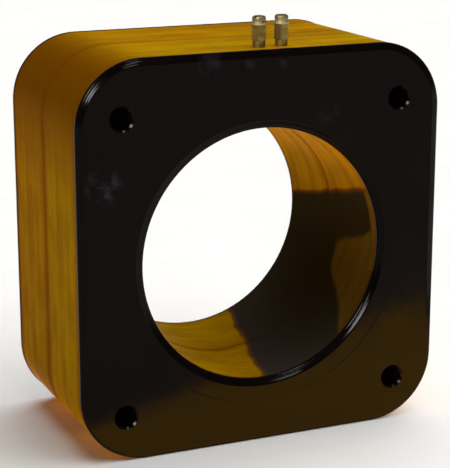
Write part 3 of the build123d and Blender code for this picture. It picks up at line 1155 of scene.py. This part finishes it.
@dataclass
class Insides:
    """What is sealed in the block: core, winding, insulation, resin, leads and sleeves."""

    sleeve: PlatedMetal = PlatedMetal("steel_tube_oxide_black", bright="#2b2a28", dull="#1e1d1b")
    board: LayeredBoard = LayeredBoard("phenolic_paper_board")
    pressboard: LayeredBoard = LayeredBoard("pressboard_calendered", light="#c9ab7c", dark="#b3925f")
    wrap: LayeredBoard = LayeredBoard("crepe_paper_wrap", light="#c7a963", dark="#a4853f", fibre_mm=12.0)
    core: Wound = Wound("silicon_steel_strip_wound")
    wire: Wound = Wound("copper_wire_enamelled", light="#a4552a", dark="#6e3315", metallic=0.6, turn_mm=1.6)
    resin: CastResin = CastResin("epoxy_resin_cast")
    block: CastResin = CastResin("phenolic_block_moulded", light="#3a2c1d", dark="#261c12")
    lug: PlatedMetal = PlatedMetal("copper_lug_tinned", bright="#b9b3a4", dull="#8c8676")

    def build(self) -> None:
        """Dress each inner piece."""
        corners = ("bottom_left", "top_left", "bottom_right", "top_right")
        dress_nodes(["bolt_sleeve_" + corner for corner in corners], self.sleeve.material())
        dress_nodes(["case_band", "window_tube"], self.board.material())
        dress_nodes(
            ["core_collar_front", "core_collar_rear", "core_sleeve_inner", "core_sleeve_outer"],
            self.pressboard.material(),
        )
        dress_nodes(["winding_wrap"], self.wrap.material())
        dress_nodes(["core"], self.core.material())
        dress_nodes(["secondary_winding", *both("winding_lead")], self.wire.material())
        dress_nodes(["potting_resin"], self.resin.material())
        dress_nodes(["terminal_block"], self.block.material())
        dress_nodes(both("lug_nut", "lead_lug"), self.lug.material())


@dataclass(frozen=True)
class SunLamp:
    """A far lamp: where it stands as seen from the block, its strength and width, and what it lights."""

    name: str
    azimuth_deg: float
    elevation_deg: float
    strength: float
    angle_deg: float
    colour: str = "#ffffff"
    shadow: bool = True
    lights_matt: bool = True
    lights_gloss: bool = True

    def build(self) -> None:
        """Add the lamp."""
        lamp = bpy.data.lights.new(self.name, "SUN")
        lamp.energy = self.strength
        lamp.angle = math.radians(self.angle_deg)
        lamp.color = linear(self.colour)[:3]
        lamp.use_shadow = self.shadow
        piece = bpy.data.objects.new(self.name, lamp)
        towards = direction(self.azimuth_deg, self.elevation_deg)
        piece.rotation_euler = towards.to_track_quat("Z", "Y").to_euler()
        piece.visible_diffuse, piece.visible_glossy = self.lights_matt, self.lights_gloss
        bpy.context.scene.collection.objects.link(piece)
        log.info("lamp %s", self.name)


@dataclass(frozen=True)
class BenchGlow(Finish):
    """Brown bench wood, as far as the gloss of the front plate picks it up."""

    light: str = "#ffc24a"
    dark: str = "#f0b03c"
    strength: float = 5.8
    vein_mm: tuple[float, float, float] = (180.0, 12.0, 12.0)

    def material(self) -> bpy.types.Material:
        """Build the material and return it."""
        tones = (self.dark, self.light)
        material, shader = self.two_toned(self.vein_mm, tones, detail=3.0, socket="Emission Color")
        shader.inputs["Emission Strength"].default_value = self.strength
        shader.inputs["Base Color"].default_value = (0.0, 0.0, 0.0, 1.0)
        return material


@dataclass
class BenchEdge:
    """The patch of brown bench in front of the block, which only the gloss of the block picks up.

    It is made of low upright strips, one behind the other. A shallow view mirrors them as one patch, and a
    steep view, which would mirror the patch far too brightly, looks down between them.
    """

    near_y: float = -68.6 * MM
    left: tuple[float, float] = (-60.0 * MM, -148.0 * MM)
    right: tuple[float, float] = (190.0 * MM, -268.0 * MM)
    right_x: float = 262.0 * MM
    spacing: float = 8.0 * MM
    strip_height: float = 3.6 * MM
    # A strip's left end leans to the right by this many times its height, so that the ends together make
    # one straight edge in a shallow view.
    end_lean: float = 4.0
    drop: float = 0.05 * MM
    finish: BenchGlow = BenchGlow("bench_wood_glow")

    def build(self) -> None:
        """Make the patch: its far edge is a slanted line through two places."""
        (x1, y1), (x2, y2) = self.left, self.right
        slope = (y2 - y1) / (x2 - x1)
        vertices, faces = [], []
        foot, top = -self.drop, self.strip_height - self.drop
        y, far_y = self.near_y, y1 + (self.right_x - x1) * slope
        while y > far_y:
            x = x1 + (y - y1) / slope
            top_x = min(x + self.end_lean * self.strip_height, self.right_x)
            first = len(vertices)
            vertices += [(x, y, foot), (self.right_x, y, foot), (self.right_x, y, top), (top_x, y, top)]
            faces.append(tuple(range(first, first + 4)))
            y -= self.spacing
        patch = add_mesh("bench_glow", vertices, faces)
        dress(patch, self.finish.material())
        patch.visible_camera = patch.visible_diffuse = patch.visible_shadow = False
        log.info("bench glow")


@dataclass
class Studio:
    """The plain pale floor, the dim room and the lamps."""

    floor_reach: float = 9.0
    floor_drop: float = 0.1 * MM
    floor: PaintedBoard = PaintedBoard("board_white_matt")
    room_colour: str = "#ffffff"
    room_strength: float = 0.12
    lamps: list[SunLamp] = field(default_factory=lambda: [
        SunLamp(
            "main_soft", azimuth_deg=90.0, elevation_deg=56.0, strength=4.0, angle_deg=105.0,
            lights_gloss=False,
        ),
        SunLamp(
            "left_low", azimuth_deg=-75.0, elevation_deg=-42.0, strength=2.15, angle_deg=60.0,
            colour="#ffb88c", shadow=False, lights_gloss=False,
        ),
        SunLamp(
            "bench_bounce", azimuth_deg=150.0, elevation_deg=-55.0, strength=1.15, angle_deg=30.0,
            colour="#fff0d0", shadow=False, lights_gloss=False,
        ),
        SunLamp(
            "glint", azimuth_deg=-57.0, elevation_deg=34.0, strength=4.6, angle_deg=20.0, lights_matt=False,
        ),
        SunLamp(
            "glint_high", azimuth_deg=22.0, elevation_deg=69.0, strength=0.85, angle_deg=16.0,
            lights_matt=False,
        ),
    ])
    bench: BenchEdge = field(default_factory=BenchEdge)

    def build(self) -> None:
        """Make the floor, the room's light and the lamps."""
        reach, z = self.floor_reach, -self.floor_drop
        corners = [(-reach, -reach, z), (reach, -reach, z), (reach, reach, z), (-reach, reach, z)]
        floor = add_mesh("floor", corners, [(0, 1, 2, 3)])
        dress(floor, self.floor.material())
        log.info("floor")
        world = bpy.data.worlds.new("room")
        world.use_nodes = True
        world.node_tree.nodes.clear()
        inputs = {"Color": linear(self.room_colour), "Strength": self.room_strength}
        light = add_node(world.node_tree, "ShaderNodeBackground", inputs)
        add_node(world.node_tree, "ShaderNodeOutputWorld", {"Surface": light.outputs["Background"]})
        bpy.context.scene.world = world
        for lamp in self.lamps:
            lamp.build()
        self.bench.build()


@dataclass
class PhotoCamera:
    """The camera, at the photograph's viewing angle."""

    azimuth_deg: float = -23.656
    elevation_deg: float = 14.757
    distance: float = 1.1078
    aim_height: float = PLATE_HIGH.z / 2
    slide_right: float = 1.12 * MM
    slide_up: float = -4.98 * MM
    focal_length_px: float = 1616.1
    photo_height_px: float = 468.0
    sensor_mm: float = 36.0

    def build(self) -> None:
        """Add the camera and make it the scene's."""
        azimuth = math.radians(self.azimuth_deg)
        right = Vector((math.cos(azimuth), math.sin(azimuth), 0.0))
        back = direction(self.azimuth_deg, self.elevation_deg)
        up = back.cross(right)
        place = Vector((0.0, 0.0, self.aim_height)) + back * self.distance
        place += right * self.slide_right + up * self.slide_up
        lens = bpy.data.cameras.new("photo_camera")
        lens.sensor_width = self.sensor_mm
        lens.lens = self.focal_length_px / self.photo_height_px * self.sensor_mm
        camera = bpy.data.objects.new("photo_camera", lens)
        turn = Matrix((right, up, back)).transposed().to_4x4()
        camera.matrix_world = Matrix.Translation(place) @ turn
        bpy.context.scene.collection.objects.link(camera)
        bpy.context.scene.camera = camera
        log.info("camera at %s", tuple(round(v, 3) for v in place))


def main() -> None:
    """Build every sub-assembly, then the studio and the camera."""
    bpy.context.scene.view_settings.view_transform = "Standard"
    for part in (PhotoCamera(), EndPlates(), OuterTape(), WindowTape(), Terminals(), Insides(), Studio()):
        part.build()


if __name__ == "__main__":
    main()
